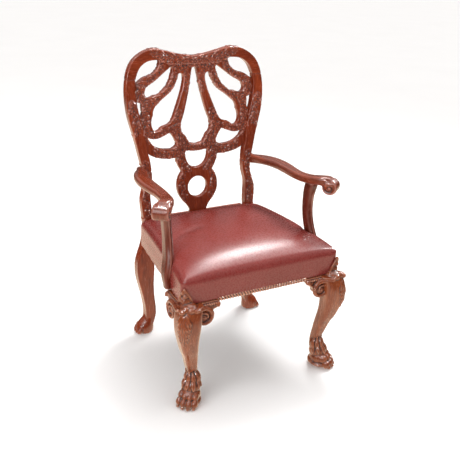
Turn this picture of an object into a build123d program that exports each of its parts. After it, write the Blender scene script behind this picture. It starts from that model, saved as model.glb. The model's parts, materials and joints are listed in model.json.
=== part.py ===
from build123d import *
from math import cos, sin, radians, hypot
import os

# Open armchair: carved cabriole front legs with paw feet, rear legs that run on up as the
# back's stiles, a crest rail with a pierced splat, scrolled arms and a stuffed leather seat.
# Millimetres. +Z is up, the chair faces -Y, and the origin is on the floor under its middle.

os.makedirs("parts", exist_ok=True)

# ---- driving dimensions -----------------------------------------------------------------------
pad_height = 10  # heights below are taken from the top of the pads under the paws
front_line = -271.4  # y of the line through the front feet; back(d) is d behind it

seat_front_half = 289  # half width of the leather at the front, at the seat's edge
seat_rear_half = 241
seat_front_from_line = 8
seat_rear_from_line = 479.5
seat_edge_height = 437
seat_crown_height = 478

rail_bottom = 354
rail_top = 410
rail_thickness = 28
rail_inset = 2.5  # from the leather's outer face to the rail
leather_thickness = 1.8

tenon_thickness = 10
tenon_length = 22
tenon_shoulder = 9  # tenons are this much lower and higher than the rail
rear_tenon_set_in = 4.5  # of the side rail's rear tenon, to leave a wall in the stile
fit = 0.2  # room left around a tenon or a screw

back_rake = 0.1118  # how far the back leans for each millimetre of height
back_foot_from_line = 446  # where the back's front face would meet the floor
back_hollow_radius = 2190  # plan radius of the hollow in the back
stile_thickness = 28
splat_setback = 8
splat_thickness = 20
crest_joint_height = 940

front_post_inside = 236
front_post_rear = front_line + 58
front_rail_middle = front_line + seat_front_from_line + rail_inset + rail_thickness / 2
rear_leg_inside = 193
rear_leg_front = front_line + 481.5
rear_rail_front = front_line + 484
rear_rail_thickness = 36
rear_rail_middle = rear_rail_front + rear_rail_thickness / 2
shoe_front = front_line + 497
shoe_depth = 31
stile_start_height = 415
shoe_socket_bottom = 422
arm_screw_height = 620
screw_shank_radius = 2
screw_head_radius = 3.8
screw_head_depth = 2.5
screw_pocket = 60
tack_shank_radius = 0.8
tack_head_radius = 3.5
tack_head_depth = 0.8
tack_length = 10
moulding_half_length = 163
moulding_radius = 6
chair_height = 1100  # no piece reaches this high
beyond = 600  # no piece reaches this far from the chair's middle


def back(distance):
    """y of a place this far behind the line through the front feet."""
    return front_line + distance


def rail_face(y):
    """x of the side rail's outer face at y; the seat narrows towards the back."""
    front_y = back(seat_front_from_line)
    rear_y = back(seat_rear_from_line)
    share = (y - front_y) / (rear_y - front_y)
    return seat_front_half + share * (seat_rear_half - seat_front_half) - rail_inset


def single(part, name):
    """Write a piece, lifted by the pads that the chair stands on."""
    with BuildPart() as piece:
        add(part.moved(Location((0, 0, pad_height))))
    piece.part.label = name
    export_step(piece.part, "parts/" + name + ".step")


def pair(part, name):
    """Write a right-hand piece and its mirror image."""
    with BuildPart() as other_hand:
        mirror(part, about=Plane.YZ)
    single(part, name + "_right")
    single(other_hand.part, name + "_left")


def back_board(setback, thickness):
    """The raked board, hollow in plan, that a piece of the back is sawn from."""
    half = 330  # beyond the outer edges of the back
    centre = (0, back(back_foot_from_line) + setback)
    edge = (half, centre[1] - half**2 / (2 * back_hollow_radius))
    with BuildPart() as board:
        with BuildSketch(Plane.XY):
            with BuildLine():
                front = ThreePointArc((-edge[0], edge[1]), centre, edge)
                rear = ThreePointArc(
                    (-edge[0], edge[1] + thickness),
                    (centre[0], centre[1] + thickness),
                    (edge[0], edge[1] + thickness),
                )
                Line(front @ 0, rear @ 0)
                Line(front @ 1, rear @ 1)
            make_face()
        extrude(amount=chair_height * hypot(1, back_rake), dir=(0, back_rake, 1))
    return board.part


# ---- front legs -------------------------------------------------------------------------------
# Height, outward and inward reach along the diagonal from the leg's axis.
leg_axis = (250, 25)
paw_axis = (246, 22)
leg_sections = [
    (14, 30, -26),
    (50, 20, -27),
    (84, 8, -29),
    (112, 16, -26),
    (145, 28, -21),
    (190, 49, -13),
    (225, 63, -8),
    (262, 74, -8),
    (305, 76, -14),
    (338, 66, -22),
    (354, 56, -30),
]
# Height, middle along the diagonal, length and width of the paw.
paw_sections = [
    (-pad_height, 29, 100, 76),
    (6, 30, 108, 82),
    (26, 26, 98, 77),
    (44, 13, 68, 60),
    (64, -3, 44, 42),
]


def side_tenons(room):
    """Tenons at both ends of the right side rail, with room to spare for their mortises."""
    first = back(58) - tenon_length - room
    last = back(seat_rear_from_line) + tenon_length + room
    middle = rail_thickness / 2
    rear_middle = middle + rear_tenon_set_in
    half = tenon_thickness / 2 + room
    low = rail_bottom + tenon_shoulder - room
    high = rail_top - tenon_shoulder + room
    with BuildPart() as tenons:
        with BuildSketch(Plane.XY.offset(low)):
            with BuildLine():
                Polyline(
                    (rail_face(first) - middle - half, first),
                    (rail_face(first) - middle + half, first),
                    (rail_face(last) - rear_middle + half, last),
                    (rail_face(last) - rear_middle - half, last),
                    close=True,
                )
            make_face()
        extrude(amount=high - low)
    return tenons.part


def front_tenon(room):
    """Tenon at the right end of the front rail."""
    length = tenon_length + room
    with BuildPart() as tenon:
        with BuildSketch(Plane.XY.offset(rail_bottom + tenon_shoulder - room)):
            with Locations((front_post_inside - 1, front_rail_middle)):
                Rectangle(
                    length + 1,
                    tenon_thickness + 2 * room,
                    align=(Align.MIN, Align.CENTER),
                )
        extrude(amount=rail_top - rail_bottom - 2 * tenon_shoulder + 2 * room)
    return tenon.part


def rear_tenon(room):
    """Tenon at the right end of the rear rail."""
    with BuildPart() as tenon:
        with BuildSketch(Plane.XY.offset(rail_bottom + tenon_shoulder - room)):
            with Locations((rear_leg_inside - 1, rear_rail_middle)):
                Rectangle(
                    tenon_length / 2 + room + 1,
                    tenon_thickness + 2 * room,
                    align=(Align.MIN, Align.CENTER),
                )
        extrude(amount=rail_top - rail_bottom - 2 * tenon_shoulder + 2 * room)
    return tenon.part


def on_diagonal(axis, reach):
    """Plan position on the diagonal through a front leg, outwards from its axis."""
    step = reach * cos(radians(45))
    return (axis[0] + step, back(axis[1]) - step)


def closed_shape(*stretches):
    """Sketch bounded by smooth stretches of points, which meet in sharp corners."""
    with BuildSketch() as shape:
        with BuildLine():
            for number, stretch in enumerate(stretches):
                points = [*stretch, stretches[(number + 1) % len(stretches)][0]]
                if len(points) == 2:
                    Line(*points)
                else:
                    Spline(*points)
        make_face()
    return shape.sketch


def shifted(points, dx, dz):
    return [(x + dx, z + dz) for x, z in points]


side_tenon_cut = side_tenons(fit)
front_tenon_cut = front_tenon(fit)
rear_tenon_cut = rear_tenon(fit)

square_side = 0.858  # side of a rounded square for each millimetre across its corners
square_rounding = 0.3  # corner radius for each millimetre of a side

with BuildPart() as front_leg:
    for height, outward, inward in leg_sections:
        side = square_side * (outward - inward)
        with BuildSketch(Plane.XY.offset(height)):
            with Locations(on_diagonal(leg_axis, (outward + inward) / 2)):
                RectangleRounded(side, side, square_rounding * side)
    loft()
    for height, middle, length, width in paw_sections:
        with BuildSketch(Plane.XY.offset(height)):
            with Locations(on_diagonal(paw_axis, middle)):
                Ellipse(length / 2, width / 2, rotation=-45)
    loft()
    with BuildSketch(Plane.XY.offset(rail_bottom - 4)):
        with BuildLine():
            Polyline(
                (front_post_inside, back(seat_front_from_line) + rail_inset),
                (rail_face(back(seat_front_from_line)), back(seat_front_from_line) + rail_inset),
                (rail_face(front_post_rear), front_post_rear),
                (front_post_inside, front_post_rear),
                close=True,
            )
        make_face()
    extrude(amount=rail_top - rail_bottom + 4)
    add(side_tenon_cut, mode=Mode.SUBTRACT)
    add(front_tenon_cut, mode=Mode.SUBTRACT)

# ---- rear legs, which run on up as the stiles -------------------------------------------------
# Height, middle across the chair, length across the chair and width of the paw.
rear_paw_sections = [
    (-pad_height, 232, 62, 56),
    (6, 232, 68, 60),
    (24, 229, 62, 56),
    (42, 221, 48, 46),
    (60, 213, 38, 38),
]
upper_seam = [(231.5, 920), (231, 895), (228, 867)]  # where splat and stile meet
lower_seam = [(217, 811), (212, 785), (207, 760), (201, 720), (196, 684)]

stile_front_view = closed_shape(
    [
        (240, 0),
        (236, 30),
        (231, 62),
        (232, 90),
        (237, 125),
        (245, 165),
        (254, 205),
        (259, 255),
        (256, 285),
        (246, 318),
        (235, 350),
        (229, 385),
    ],
    [
        (228, 415),
        (229, 470),
        (230, 530),
        (217, 570),
        (214, 600),
        (222, 645),
        (236, 710),
        (248, 760),
        (260, 806),
        (266, 850),
        (267.5, 890),
    ],
    [(262, crest_joint_height)],
    [(228.5, crest_joint_height)],
    upper_seam[:-1],
    [upper_seam[-1], (224, 838)],
    lower_seam[:-1],
    [lower_seam[-1], (191, 667), (187, 640), (185, 602), (188, 574), (194, 548), (194, 500)],
    [(rear_leg_inside, 440)],
    [
        (rear_leg_inside, 340),
        (191, 290),
        (193, 240),
        (197, 195),
        (197, 150),
        (193, 105),
        (192, 70),
        (202, 30),
    ],
    [(215, 0)],
)
lower_side_view = closed_shape(
    [
        (back(460), 0),
        (back(462), 60),
        (back(463), 100),
        (back(466), 160),
        (back(471), 230),
        (back(477), 300),
    ],
    [(rear_leg_front, 345)],
    [(rear_leg_front, stile_start_height + 1)],
    [(back(513), stile_start_height + 1)],
    [
        (back(513), 345),
        (back(512), 290),
        (back(509), 220),
        (back(505), 150),
        (back(501), 90),
        (back(502), 50),
    ],
    [(back(502), 0)],
)
stile_board = back_board(0, stile_thickness)
with BuildPart() as rear_leg_depth:
    add(stile_board)
    split(bisect_by=Plane.XY.offset(stile_start_height), keep=Keep.TOP)
    with BuildSketch(Plane.YZ):
        add(lower_side_view)
    extrude(amount=beyond)

crest_tenon_view = closed_shape([(236, 930)], [(254, 930)], [(251, 962)], [(233, 962)])
crest_mortise_view = closed_shape(
    [(235.8, 930)],
    [(254.2, 930)],
    [(251.2, 962.5)],
    [(232.8, 962.5)],
)


def sawn(view, board):
    """What is left of a board when it is sawn to a front view."""
    with BuildPart() as piece:
        with BuildSketch(Plane.XZ):
            add(view)
        extrude(amount=beyond, both=True)
        add(board, mode=Mode.INTERSECT)
    return piece.part


crest_tenon = sawn(crest_tenon_view, back_board(9, tenon_thickness))
crest_mortise = sawn(crest_mortise_view, back_board(9 - fit, tenon_thickness + 2 * fit))

with BuildPart() as rear_leg:
    add(sawn(stile_front_view, rear_leg_depth.part))
    for height, middle, length, width in rear_paw_sections:
        with BuildSketch(Plane.XY.offset(height)):
            with Locations((middle, back(482))):
                Ellipse(length / 2, width / 2)
    loft()
    add(crest_tenon)
    add(side_tenon_cut, mode=Mode.SUBTRACT)
    add(rear_tenon_cut, mode=Mode.SUBTRACT)

# ---- crest rail -------------------------------------------------------------------------------
crest_seam = [(134, 1001), (118, 991), (100, 985.5), (80, 984), (40, 983.5), (0, 983.5)]
crest_half_view = closed_shape(
    [
        (262, crest_joint_height),
        (255, 966),
        (243, 990),
        (228, 1007),
        (210, 1020),
        (190, 1030),
        (168, 1036.3),
        (146, 1038),
        (122, 1034),
        (98, 1027.5),
        (72, 1021),
        (45, 1015),
        (20, 1011.5),
    ],
    [(0, 1010.5)],
    crest_seam[::-1][:-1],
    [(134, 1001), (148, 1001), (165, 1000), (183, 996), (198, 988), (212, 975), (224, 952)],
    [(228.5, crest_joint_height)],
)
splat_tenon_view = closed_shape([(0, 975)], [(75, 975)], [(75, 996)], [(0, 996)])
splat_mortise_view = closed_shape([(0, 975)], [(75.2, 975)], [(75.2, 996.5)], [(0, 996.5)])
splat_tenon = sawn(splat_tenon_view, back_board(12, 9))
splat_mortise = sawn(splat_mortise_view, back_board(12 - fit, 9 + 2 * fit))

with BuildPart() as crest_rail:
    add(sawn(crest_half_view, stile_board))
    add(crest_mortise, mode=Mode.SUBTRACT)
    add(splat_mortise, mode=Mode.SUBTRACT)
    mirror(about=Plane.YZ)

# ---- pierced splat ----------------------------------------------------------------------------
splat_half_view = closed_shape(
    shifted(crest_seam[::-1][:-1], 0, -fit),
    [
        (134, 1001 - fit),
        (135, 988),
        (138, 976),
        (146, 966),
        (160, 954),
        (176, 948),
        (192, 945),
        (204, 939),
        (217, 930),
    ],
    shifted(upper_seam[:-1], -fit, 0),
    [(228 - fit, 867)],
    [(205, 857), (208, 846), (206, 834), (208, 822)],
    shifted(lower_seam[:-1], -fit, 0),
    [(196 - fit, 684), (175, 670), (158, 663), (140, 658), (120, 655), (102, 654)],
    [(84, 655), (78, 632), (69, 612)],
    [(59, 600), (70, 586), (78, 570), (81.5, 550), (81, 532), (75, 512), (62, 492), (47, 474)],
    [(34, 452)],
    [(31, shoe_socket_bottom + fit)],
    [(0, shoe_socket_bottom + fit)],
)
centre_petal = closed_shape(
    [
        (8, 968),
        (14, 940),
        (19, 912),
        (26, 880),
        (34, 850),
        (42, 822),
        (50, 799),
        (57, 781),
        (60, 765),
        (58, 750),
    ],
    [(43, 733), (37, 718), (26, 704), (12, 699)],
    [(0, 698)],
    [(0, 972)],
)
second_petal = closed_shape(
    [
        (53, 952),
        (45, 946),
        (42.4, 938),
        (43.6, 922),
        (50, 896),
        (64, 858),
        (84, 810),
        (102, 781),
        (117, 774),
    ],
    [(132, 771), (140, 763), (150, 757), (160, 757), (169, 766), (173.6, 784)],
    [(171, 804)],
    [
        (166, 815),
        (162, 834),
        (140, 858),
        (112, 878),
        (88, 898),
        (76, 914),
        (68, 930),
        (61, 948),
    ],
)
first_petal = closed_shape(
    [(89, 975), (85, 968), (86, 957), (96, 928), (112, 905), (130, 889), (148, 881)],
    [
        (161, 881),
        (172, 876),
        (183, 875),
        (192, 884),
        (193, 900),
        (182, 914),
        (164, 925),
        (136, 942),
        (108, 962),
    ],
)
swag_crescent = closed_shape(
    [(80, 712), (80, 699), (90, 691), (112, 689), (136, 692), (158, 701), (178, 717)],
    [(195, 740), (170, 732), (150, 731), (124, 740)],
    [(101, 747), (92, 732)],
)
half_moon = closed_shape(
    [(45, 676), (45, 656), (39, 636), (28, 621), (13, 613)],
    [(0, 611)],
    [(0, 672), (22, 674.5)],
)
vase_circle_height = 538
vase_circle_radius = 39.5

with BuildPart() as back_splat:
    with BuildSketch(Plane.XZ):
        add(splat_half_view)
        for opening in (centre_petal, second_petal, first_petal, swag_crescent, half_moon):
            add(opening, mode=Mode.SUBTRACT)
        with Locations((0, vase_circle_height)):
            Circle(vase_circle_radius, mode=Mode.SUBTRACT)
    extrude(amount=beyond, both=True)
    add(back_board(splat_setback, splat_thickness), mode=Mode.INTERSECT)
    add(splat_tenon)
    mirror(about=Plane.YZ)

# ---- splat shoe and seat rails ----------------------------------------------------------------
with BuildPart() as splat_shoe:
    with BuildSketch(Plane.YZ):
        with BuildLine():
            Polyline(
                (shoe_front, rail_top),
                (shoe_front, rail_top + 18),
                (shoe_front + 5, rail_top + 30),
                (shoe_front + shoe_depth, rail_top + 30),
                (shoe_front + shoe_depth, rail_top),
                close=True,
            )
        make_face()
    extrude(amount=rear_leg_inside - 0.5, both=True)
    with BuildSketch(Plane.XY.offset(shoe_socket_bottom)):
        with Locations((0, shoe_front + 15.2)):
            Rectangle(66.4, 25)
    extrude(amount=60, mode=Mode.SUBTRACT)

with BuildPart() as front_seat_rail:
    with BuildSketch(Plane.XY.offset(rail_bottom)):
        with Locations((0, front_rail_middle)):
            Rectangle(2 * front_post_inside, rail_thickness)
    extrude(amount=rail_top - rail_bottom)
    for side in (front_tenon(0), mirror(front_tenon(0), about=Plane.YZ, mode=Mode.PRIVATE)):
        add(side)

with BuildPart() as rear_seat_rail:
    with BuildSketch(Plane.XY.offset(rail_bottom)):
        with Locations((0, rear_rail_middle)):
            Rectangle(2 * rear_leg_inside, rear_rail_thickness)
    extrude(amount=rail_top - rail_bottom)
    for side in (rear_tenon(0), mirror(rear_tenon(0), about=Plane.YZ, mode=Mode.PRIVATE)):
        add(side)

with BuildPart() as side_seat_rail:
    with BuildSketch(Plane.XY.offset(rail_bottom)):
        with BuildLine():
            Polyline(
                (rail_face(front_post_rear), front_post_rear),
                (rail_face(rear_leg_front), rear_leg_front),
                (rail_face(rear_leg_front) - rail_thickness, rear_leg_front),
                (rail_face(front_post_rear) - rail_thickness, front_post_rear),
                close=True,
            )
        make_face()
    extrude(amount=rail_top - rail_bottom)
    add(side_tenons(0))

# ---- knee blocks, the scrolled ears beside the front legs -------------------------------------
ear_thickness = 26


def ear(length):
    """Ear drawn along X from the seat's corner, with its scroll hanging under the rail."""
    return closed_shape(
        [(6, rail_bottom)],
        [(length, rail_bottom)],
        [(length, 342), (length - 8, 330), (length - 22, 321), (length - 32, 309)],
        [(length - 36, 296), (length - 52, 284), (length - 72, 278)],
        [(6, 262)],
    )


front_ear = mirror(ear(125), about=Plane.YZ).moved(Location((seat_front_half, 0)))
side_ear = ear(122).moved(Location((back(seat_front_from_line), 0)))

with BuildPart() as front_knee_block:
    with BuildSketch(Plane.XZ.offset(-back(seat_front_from_line + ear_thickness - 4))):
        add(front_ear)
    extrude(amount=ear_thickness)
    add(front_leg.part, mode=Mode.SUBTRACT)

side_ear_x = rail_face(back(70)) - ear_thickness + 6
with BuildPart() as side_knee_block:
    with BuildSketch(Plane.YZ.offset(side_ear_x)):
        add(side_ear)
    extrude(amount=ear_thickness)
    add(front_leg.part, mode=Mode.SUBTRACT)

# ---- arms -------------------------------------------------------------------------------------
# Middle line (x, distance behind the front feet, height), width and depth of the section.
arm_sections = [
    (224, 520, 623, 30, 36),
    (236, 478, 629, 42, 30),
    (255, 426, 634, 54, 26),
    (265, 370, 635, 51, 26),
    (264, 310, 635, 46, 26),
    (261, 250, 635, 41, 26),
    (266, 198, 637, 41, 27),
    (279, 150, 644, 43, 29),
    (300, 122, 645, 46, 34),
]
scroll_middle = (311, 115, 628)
scroll_radius = 26
scroll_width = 46
scroll_turn = 52  # degrees that the arm's end has turned outwards


def arm_plane(number):
    """Plane across the arm at one of its sections."""
    places = [Vector(x, back(y), z) for x, y, z, width, depth in arm_sections]
    before = places[max(number - 1, 0)]
    after = places[min(number + 1, len(places) - 1)]
    along = (after - before).normalized()
    across = Vector(0, 0, 1).cross(along).normalized()
    return Plane(origin=places[number], x_dir=across, z_dir=along)


with BuildPart() as arm:
    for number, (x, y, z, width, depth) in enumerate(arm_sections):
        with BuildSketch(arm_plane(number)):
            RectangleRounded(width, depth, 0.36 * min(width, depth))
    loft()
    scroll_axis = Vector(cos(radians(90 - scroll_turn)), sin(radians(90 - scroll_turn)), 0)
    scroll_origin = Vector(scroll_middle[0], back(scroll_middle[1]), scroll_middle[2])
    scroll_end = scroll_origin - scroll_axis * (scroll_width / 2)
    with BuildSketch(Plane(origin=scroll_end, z_dir=scroll_axis)):
        Circle(scroll_radius)
    extrude(amount=scroll_width)
    add(rear_leg.part, mode=Mode.SUBTRACT)

# ---- arm supports -----------------------------------------------------------------------------
# Middle (x, distance behind the front feet), height, thickness across and width along the rail.
support_sections = [
    (286, 128, 362, 24, 26),
    (285, 140, 388, 25, 36),
    (281, 149, 415, 25, 42),
    (273, 158, 448, 26, 44),
    (269, 168, 480, 26, 40),
    (267, 176, 515, 27, 37),
    (268, 181, 550, 27, 37),
    (270, 182, 585, 29, 40),
    (274, 180, 612, 32, 44),
    (276, 178, 634, 30, 34),
]
rail_side_cut_height = rail_top + 4

with BuildPart() as arm_support:
    for x, y, height, thickness, width in support_sections:
        with BuildSketch(Plane.XY.offset(height)):
            with Locations((x, back(y))):
                RectangleRounded(thickness, width, square_rounding * thickness)
    loft()
    # the foot of the support is housed over the side rail's outer face
    with BuildSketch(Plane.XY.offset(rail_bottom - 20)):
        with BuildLine():
            Polyline(
                (rail_face(back(60)) + fit, back(60)),
                (rail_face(back(260)) + fit, back(260)),
                (200, back(260)),
                (200, back(60)),
                close=True,
            )
        make_face()
    extrude(amount=rail_side_cut_height - rail_bottom + 20, mode=Mode.SUBTRACT)
    add(arm.part, mode=Mode.SUBTRACT)

# ---- corner blocks ----------------------------------------------------------------------------
block_bottom = rail_bottom + 6
block_height = 34
block_leg = 62
block_middle = block_bottom + block_height / 2
front_rail_inside = front_rail_middle + rail_thickness / 2


def side_rail_inside(y):
    return rail_face(y) - rail_thickness


with BuildPart() as front_corner_block:
    with BuildSketch(Plane.XY.offset(block_bottom)):
        with BuildLine():
            Polyline(
                (front_post_inside - block_leg, front_rail_inside),
                (front_post_inside, front_rail_inside),
                (front_post_inside, front_post_rear),
                (side_rail_inside(front_post_rear), front_post_rear),
                (side_rail_inside(front_post_rear + block_leg), front_post_rear + block_leg),
                close=True,
            )
        make_face()
    extrude(amount=block_height)

with BuildPart() as rear_corner_block:
    with BuildSketch(Plane.XY.offset(block_bottom)):
        with BuildLine():
            Polyline(
                (rear_leg_inside - block_leg, rear_rail_front),
                (rear_leg_inside, rear_rail_front),
                (rear_leg_inside, rear_leg_front),
                (side_rail_inside(rear_leg_front), rear_leg_front),
                (side_rail_inside(rear_leg_front - block_leg), rear_leg_front - block_leg),
                close=True,
            )
        make_face()
    extrude(amount=block_height)


# ---- screws -----------------------------------------------------------------------------------
def rod(place, direction, radius, length):
    """Round rod, or the cutter for a round hole."""
    with BuildPart() as one_rod:
        with BuildSketch(Plane(origin=place, z_dir=direction)):
            Circle(radius)
        extrude(amount=length)
    return one_rod.part


def screw(place, direction, length):
    """Round-headed wood screw; place is the middle of its head's outer face."""
    with BuildPart() as one_screw:
        add(rod(place, direction, screw_head_radius, screw_head_depth))
        add(rod(place, direction, screw_shank_radius, length))
    return one_screw.part


def screws(places):
    return [screw(*place) for place in places]


def screw_hole(place, direction, length):
    """Clearance for a screw, with the pocket that its head is driven down."""
    floor = Vector(*place) + Vector(*direction) * screw_head_depth
    with BuildPart() as hole:
        add(rod(place, direction, screw_shank_radius + fit, length + 1))
        add(rod(floor, -Vector(*direction), screw_head_radius + 0.7, screw_pocket))
    return hole.part


def cut_from(part, cutters):
    """The part with each of the cutters taken away."""
    with BuildPart() as rest:
        add(part)
        for cutter in cutters:
            add(cutter, mode=Mode.SUBTRACT)
    return rest.part


def both_hands(shapes):
    """The shapes and their mirror images, as separate solids of one node."""
    with BuildPart() as group:
        add(shapes)
        mirror(shapes, about=Plane.YZ)
    return group.part


forwards = (0, -1, 0)
backwards = (0, 1, 0)
outwards = (1, 0, 0)
front_block_y = back(95)
rear_block_y = back(438)
front_block_screws = [
    ((front_post_inside - 40, front_rail_inside + 12, block_middle), forwards, 30),
    ((side_rail_inside(front_block_y) - 12, front_block_y, block_middle), outwards, 30),
]
rear_block_screws = [
    ((rear_leg_inside - 40, rear_rail_front - 10, block_middle), backwards, 28),
    ((side_rail_inside(rear_block_y) - 12, rear_block_y, block_middle), outwards, 30),
]
support_screws = [
    ((side_rail_inside(back(132)) + 8, back(132), 374), outwards, 36),
    ((side_rail_inside(back(144)) + 8, back(144), 397), outwards, 36),
]
arm_screws = [((190, back(513), arm_screw_height), outwards, 42)]

front_block_holes = [screw_hole(*places) for places in front_block_screws]
rear_block_holes = [screw_hole(*places) for places in rear_block_screws]
support_holes = [screw_hole(*places) for places in support_screws]
arm_holes = [screw_hole(*places) for places in arm_screws]

# ---- tacks under the rails --------------------------------------------------------------------
tack_height = rail_bottom - 1.2  # underside of what the tacks hold
side_tack_rows = [back(150 + 60 * step) for step in range(6)]
leather_tacks = [(rail_face(y) - 7, y) for y in side_tack_rows]
dust_cover_side_tacks = [(rail_face(y) - 21, y) for y in side_tack_rows]
dust_cover_front_tacks = [(x, front_rail_middle + 5) for x in (20, 80, 140)]
dust_cover_rear_tacks = [(x, rear_rail_front + 10) for x in (45, 135)]
all_tacks = (
    leather_tacks + dust_cover_side_tacks + dust_cover_front_tacks + dust_cover_rear_tacks
)


def tack(place):
    with BuildPart() as one_tack:
        with BuildSketch(Plane.XY.offset(tack_height - tack_head_depth)):
            with Locations(place):
                Circle(tack_head_radius)
        extrude(amount=tack_head_depth)
        with BuildSketch(Plane.XY.offset(tack_height)):
            with Locations(place):
                Circle(tack_shank_radius)
        extrude(amount=tack_length)
    return one_tack.part


def tack_holes(places):
    """Cutters for the tacks at these places and at their mirror images."""
    with BuildPart() as holes:
        with BuildSketch(Plane.XY.offset(tack_height - 1)):
            for x, y in places:
                with Locations((x, y), (-x, y)):
                    Circle(tack_shank_radius + 0.1)
        extrude(amount=tack_length + 1.5)
    return holes.part


# ---- leather, stuffing and what carries them --------------------------------------------------
cushion_rear = back(493)
cushion_rear_half = rear_leg_inside - 2
seat_front = back(seat_front_from_line)
seat_rear = back(seat_rear_from_line)
seat_rear_height = 449
stuffing_bottom = 414
cushion_block_height = 200  # of the block that the crowned form is cut from


def cushion_form(inset, bottom):
    """Crowned seat form, this far inside the leather's outer face."""
    half = seat_front_half
    crown = seat_crown_height - inset
    edge = seat_edge_height - inset
    with BuildPart() as form:
        with BuildSketch(Plane.XY.offset(bottom)):
            with BuildLine():
                Polyline(
                    (0, seat_front + inset),
                    (seat_front_half - inset, seat_front + inset),
                    (seat_rear_half - inset, seat_rear - inset),
                    (cushion_rear_half - inset, seat_rear - inset),
                    (cushion_rear_half - inset, cushion_rear - inset),
                    (0, cushion_rear - inset),
                    close=True,
                )
            make_face()
            mirror(about=Plane.YZ)
        extrude(amount=cushion_block_height)
        with BuildSketch(Plane.XZ):
            with BuildLine():
                ThreePointArc((-half, edge), (0, crown), (half, edge))
                Polyline((half, edge), (half, bottom), (-half, bottom), (-half, edge))
            make_face()
        extrude(amount=beyond, both=True, mode=Mode.INTERSECT)
        with BuildSketch(Plane.YZ):
            with BuildLine():
                ThreePointArc(
                    (seat_front, edge),
                    ((seat_front + cushion_rear) / 2, crown),
                    (cushion_rear, seat_rear_height - inset),
                )
                Polyline(
                    (cushion_rear, seat_rear_height - inset),
                    (cushion_rear, bottom),
                    (seat_front, bottom),
                    (seat_front, edge),
                )
            make_face()
        extrude(amount=beyond, both=True, mode=Mode.INTERSECT)
    return form.part


with BuildPart() as support_openings:
    # room in the leather and the stuffing for the arm supports, at the foot and above the rail
    for low, high, near, far in ((340, 416, 110, 172), (stuffing_bottom - 6, 520, 120, 194)):
        with BuildSketch(Plane.XY.offset(low)):
            with Locations((254, back((near + far) / 2)), (-254, back((near + far) / 2))):
                Rectangle(80, far - near)
        extrude(amount=high - low)
with BuildPart() as foot_opening_core:
    # the rails stay whole behind the feet of the supports
    with BuildSketch(Plane.XY.offset(stuffing_bottom)):
        Rectangle(2 * 251, 900)
    extrude(amount=cushion_block_height)
support_cut = cut_from(support_openings.part, [foot_opening_core.part])

with BuildPart() as seat_stuffing:
    add(cushion_form(leather_thickness + 0.5, stuffing_bottom))
    add(support_cut, mode=Mode.SUBTRACT)

with BuildPart() as leather_cover:
    add(cushion_form(0, rail_bottom))
    add(cushion_form(leather_thickness, rail_bottom - 40), mode=Mode.SUBTRACT)
    # the front hangs down to the gadroon moulding only
    with BuildSketch(Plane.XZ):
        with Locations((0, rail_bottom)):
            Rectangle(2 * moulding_half_length + 1, 2 * moulding_radius + fit)
    extrude(amount=-seat_front, mode=Mode.SUBTRACT)
    # nothing hangs between the side rails' faces behind the front posts
    with BuildSketch(Plane.XY.offset(rail_bottom - 20)):
        with BuildLine():
            Polyline(
                (0, front_post_rear),
                (rail_face(front_post_rear) + fit, front_post_rear),
                (rail_face(cushion_rear) + fit, cushion_rear),
                (0, cushion_rear),
                close=True,
            )
        make_face()
        mirror(about=Plane.YZ)
    extrude(amount=rail_top - rail_bottom + 20, mode=Mode.SUBTRACT)
    # strips turned under the side rails
    with BuildSketch(Plane.XY.offset(tack_height)):
        for hand in (1, -1):
            with BuildLine():
                Polyline(
                    (hand * (rail_face(back(120)) + 2), back(120)),
                    (hand * (rail_face(back(470)) + 2), back(470)),
                    (hand * (rail_face(back(470)) - 13), back(470)),
                    (hand * (rail_face(back(120)) - 13), back(120)),
                    close=True,
                )
            make_face()
    extrude(amount=rail_bottom - tack_height)
    add(support_cut, mode=Mode.SUBTRACT)
    add(arm_support.part, mode=Mode.SUBTRACT)
    add(mirror(arm_support.part, about=Plane.YZ, mode=Mode.PRIVATE), mode=Mode.SUBTRACT)
    add(tack_holes(leather_tacks), mode=Mode.SUBTRACT)

with BuildPart() as dust_cover:
    with BuildSketch(Plane.XY.offset(tack_height)):
        with BuildLine():
            half_front = 157
            half_rear = rear_leg_inside - 3
            Polyline(
                (-half_front, front_rail_middle),
                (half_front, front_rail_middle),
                (rail_face(back(125)) - 15, back(125)),
                (rail_face(back(470)) - 15, back(470)),
                (half_rear, back(478)),
                (half_rear, rear_rail_middle),
                (-half_rear, rear_rail_middle),
                (-half_rear, back(478)),
                (15 - rail_face(back(470)), back(470)),
                (15 - rail_face(back(125)), back(125)),
                close=True,
            )
        make_face()
    extrude(amount=1)
    add(tack_holes(all_tacks), mode=Mode.SUBTRACT)

with BuildPart() as seat_hessian:
    with BuildSketch(Plane.XY.offset(rail_top + 3)):
        with BuildLine():
            Polyline(
                (-seat_front_half + 14, seat_front + 12),
                (seat_front_half - 14, seat_front + 12),
                (seat_rear_half - 8, seat_rear - 4),
                (cushion_rear_half - 3, seat_rear - 4),
                (cushion_rear_half - 3, cushion_rear - 3),
                (3 - cushion_rear_half, cushion_rear - 3),
                (3 - cushion_rear_half, seat_rear - 4),
                (8 - seat_rear_half, seat_rear - 4),
                close=True,
            )
        make_face()
    extrude(amount=0.8)

webbing_width = 50
webbing_thickness = 1.5
webbing_end_room = 12
with BuildPart() as seat_webbing:
    # straps from front to back lie under the ones from side to side
    with BuildSketch(Plane.XY.offset(rail_top)):
        for x in (-130, -65, 0, 65, 130):
            with Locations((x, (seat_front + cushion_rear) / 2)):
                Rectangle(webbing_width, cushion_rear - seat_front - 2 * webbing_end_room)
    extrude(amount=webbing_thickness)
with BuildPart() as cross_webbing:
    with BuildSketch(Plane.XY.offset(rail_top + webbing_thickness)):
        for distance in (120, 200, 280, 360, 440):
            with Locations((0, back(distance))):
                Rectangle(2 * (rail_face(back(distance)) - webbing_end_room), webbing_width)
    extrude(amount=webbing_thickness - 0.2)

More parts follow.
